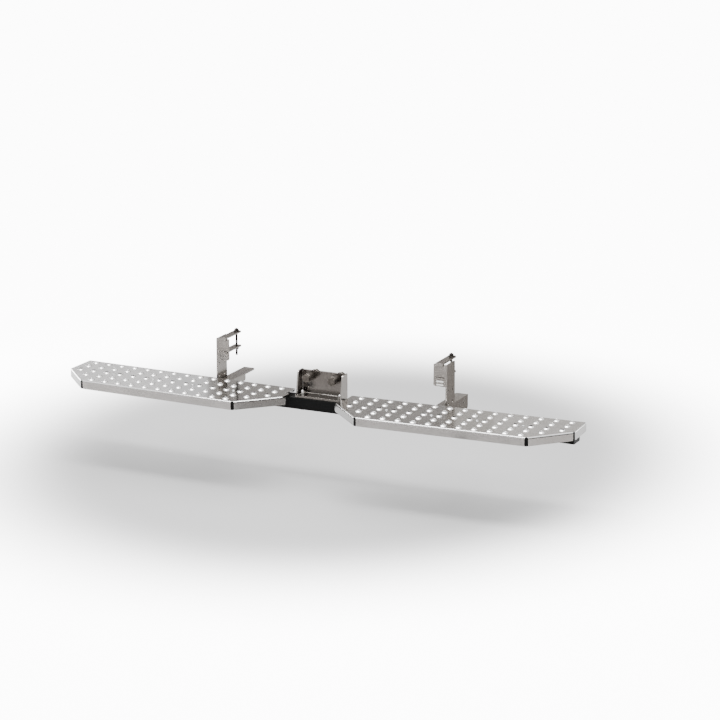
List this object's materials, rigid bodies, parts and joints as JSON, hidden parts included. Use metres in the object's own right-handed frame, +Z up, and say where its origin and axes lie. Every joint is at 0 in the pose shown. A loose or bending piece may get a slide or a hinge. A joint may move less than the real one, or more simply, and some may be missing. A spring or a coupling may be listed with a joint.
{
  "type": "hitch step",
  "caption": "Rear step for a tow bar: perforated folded treads left and right of a bolted centre bracket, carried on a cross beam with slotted support arms and strap clamps.",
  "frame": {"origin": "middle of the two-bolt pattern, on the back plate's face that meets the tow bar flange", "axes": "X to the right along the beam, Y towards the vehicle, Z up"},
  "size_m": [1.7664, 0.4516, 0.2016],
  "materials": {
    "tread_steel": "satin polished stainless sheet",
    "bracket_steel": "polished stainless plate",
    "black_coat": "black powder coat",
    "cap_plastic": "moulded",
    "zinc_steel": "zinc plated",
    "black_oxide": "black oxide, oiled",
    "bright_chrome": "polished"
  },
  "bodies": {
    "root": {"right_tread": "tread_steel", "left_tread": "tread_steel", "right_tread_frame": "black_coat", "left_tread_frame": "black_coat", "cross_beam": "black_coat", "right_beam_cap": "cap_plastic", "left_beam_cap": "cap_plastic", "centre_bracket": "bracket_steel", "flange_sleeves": "zinc_steel", "flange_bolts": "zinc_steel", "flange_washers": "zinc_steel", "flange_nuts": "zinc_steel", "bracket_cap_nuts": "bright_chrome", "bracket_screws": "zinc_steel", "frame_bolts": "zinc_steel", "frame_nuts": "zinc_steel", "tread_screws": "zinc_steel", "tread_nuts": "zinc_steel", "right_arm": "bracket_steel", "left_arm": "bracket_steel", "arm_bolts": "zinc_steel", "arm_nuts": "zinc_steel", "right_hanger": "bracket_steel", "left_hanger": "bracket_steel", "hanger_bolts": "zinc_steel", "hanger_nuts": "zinc_steel", "right_top_strap": "bracket_steel", "left_top_strap": "bracket_steel", "right_bottom_strap": "bracket_steel", "left_bottom_strap": "bracket_steel", "clamp_studs": "black_oxide", "clamp_washers": "black_oxide", "clamp_nuts": "black_oxide"}
  },
  "joints": []
}
